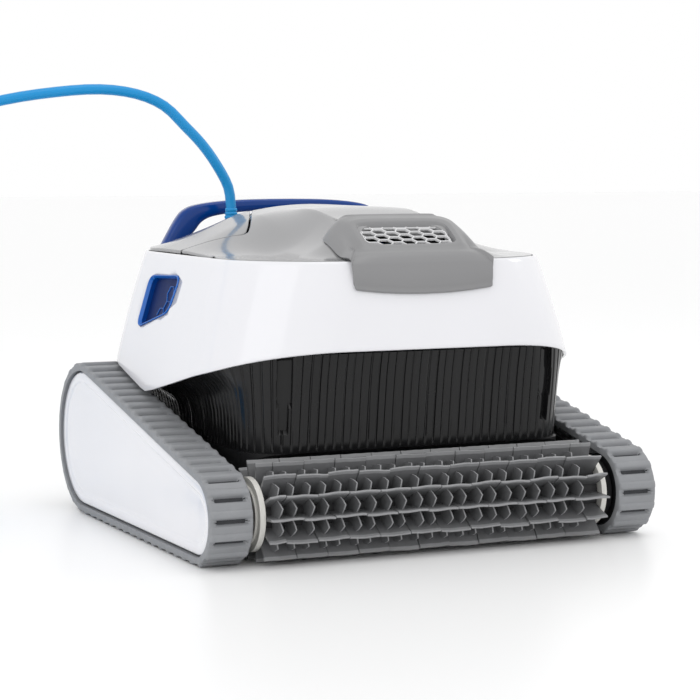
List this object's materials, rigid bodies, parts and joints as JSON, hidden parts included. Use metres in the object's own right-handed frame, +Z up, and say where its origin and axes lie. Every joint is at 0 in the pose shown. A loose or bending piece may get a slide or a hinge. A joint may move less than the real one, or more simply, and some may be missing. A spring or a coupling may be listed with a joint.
{
  "type": "pool cleaner",
  "caption": "Tracked robotic pool cleaner with rubber belts, a finned scrubbing brush, a ribbed tub under a white shell, a hinged lid with outlet grille, and a floating cable.",
  "frame": {"origin": "on the floor, under the middle of the cleaner without its free cable", "axes": "+X across the tracks, -Y the brush end and front, +Z up"},
  "size_m": [0.8282, 0.499, 0.411],
  "materials": {
    "black_plastic": "satin moulded",
    "ribbed_black": "glossy moulded with fine vertical ribs",
    "white_gloss": "glossy",
    "lid_grey": "semi-gloss",
    "nozzle_grey": "satin",
    "grille_silver": "satin",
    "navy_blue": "glossy",
    "track_rubber": "matte",
    "brush_rubber": "matte",
    "brush_core_plastic": "moulded",
    "off_white_plastic": "moulded",
    "screen_mesh": "fine woven polyester screen",
    "stainless_steel": "turned",
    "motor_can": "potted housing",
    "seal_rubber": "nitrile",
    "foam": "closed-cell foam",
    "cable_blue": "satin jacket"
  },
  "bodies": {
    "root": {"base_tub": "black_plastic", "ribbed_body": "ribbed_black", "outer_shell": "white_gloss", "top_deck": "lid_grey", "carry_handle": "navy_blue", "side_vent_left": "navy_blue", "side_vent_right": "navy_blue", "side_frame_left": "black_plastic", "side_frame_right": "black_plastic", "side_cover_left": "white_gloss", "side_cover_right": "white_gloss", "cover_screws_left": "stainless_steel", "cover_screws_right": "stainless_steel", "track_belt_left": "track_rubber", "track_belt_right": "track_rubber", "front_bush_left": "off_white_plastic", "front_bush_right": "off_white_plastic", "rear_bearing_left": "stainless_steel", "rear_bearing_right": "stainless_steel", "drive_motor_left": "motor_can", "drive_motor_right": "motor_can", "shaft_seal_left": "seal_rubber", "shaft_seal_right": "seal_rubber", "pump_motor": "motor_can", "outlet_duct": "black_plastic", "filter_basket": "off_white_plastic", "filter_screens": "screen_mesh", "basket_handle": "navy_blue", "lid_hinge_pin": "stainless_steel", "flap_pin_front": "stainless_steel", "flap_pin_rear": "stainless_steel", "float_left": "foam", "float_right": "foam", "cable_gland": "black_plastic", "strain_relief": "black_plastic", "cable_tube": "cable_blue", "cable_coil": "cable_blue", "cable_tail": "cable_blue", "coil_tie": "black_plastic", "plug_body": "black_plastic", "plug_ring": "navy_blue", "plug_pins": "stainless_steel"},
    "drive_wheel_left": {"drive_wheel_left": "black_plastic", "drive_shaft_left": "stainless_steel"},
    "drive_wheel_right": {"drive_wheel_right": "black_plastic", "drive_shaft_right": "stainless_steel"},
    "front_wheel_left": {"front_wheel_left": "black_plastic", "brush_core": "brush_core_plastic", "brush_flaps": "brush_rubber", "brush_ring_left": "off_white_plastic", "brush_ring_right": "off_white_plastic"},
    "front_wheel_right": {"front_wheel_right": "black_plastic"},
    "impeller": {"impeller": "off_white_plastic", "pump_shaft": "stainless_steel"},
    "lid": {"lid": "lid_grey", "nozzle_cover": "nozzle_grey", "outlet_grille": "grille_silver"},
    "intake_flap_front": {"intake_flap_front": "black_plastic"},
    "intake_flap_rear": {"intake_flap_rear": "black_plastic"}
  },
  "joints": [
    {"name": "drive_wheel_left_spin", "type": "hinge", "parent": "root", "child": "drive_wheel_left", "pos_m": [-0.195, 0.139, 0.073], "axis": [1, 0, 0], "continuous": true},
    {"name": "drive_wheel_right_spin", "type": "hinge", "parent": "root", "child": "drive_wheel_right", "pos_m": [0.195, 0.139, 0.073], "axis": [1, 0, 0], "continuous": true},
    {"name": "front_wheel_left_spin", "type": "hinge", "parent": "root", "child": "front_wheel_left", "pos_m": [-0.195, -0.166, 0.041], "axis": [1, 0, 0], "continuous": true},
    {"name": "front_wheel_right_spin", "type": "hinge", "parent": "root", "child": "front_wheel_right", "pos_m": [0.195, -0.166, 0.041], "axis": [1, 0, 0], "continuous": true},
    {"name": "impeller_spin", "type": "hinge", "parent": "root", "child": "impeller", "pos_m": [0, -0.081, 0.2], "axis": [0, 0, 1], "continuous": true},
    {"name": "lid_hinge", "type": "hinge", "parent": "root", "child": "lid", "pos_m": [0, 0.105, 0.283], "axis": [-1, 0, 0], "range_deg": [0, 80]},
    {"name": "intake_flap_front_hinge", "type": "hinge", "parent": "root", "child": "intake_flap_front", "pos_m": [0, -0.019, 0.0194], "axis": [1, 0, 0], "range_deg": [0, 70]},
    {"name": "intake_flap_rear_hinge", "type": "hinge", "parent": "root", "child": "intake_flap_rear", "pos_m": [0, 0.053, 0.0194], "axis": [1, 0, 0], "range_deg": [0, 70]}
  ],
  "couplings": [
    {"joint": "front_wheel_left_spin", "follows": "drive_wheel_left_spin", "ratio": 1.9014},
    {"joint": "front_wheel_right_spin", "follows": "drive_wheel_right_spin", "ratio": 1.9014}
  ]
}
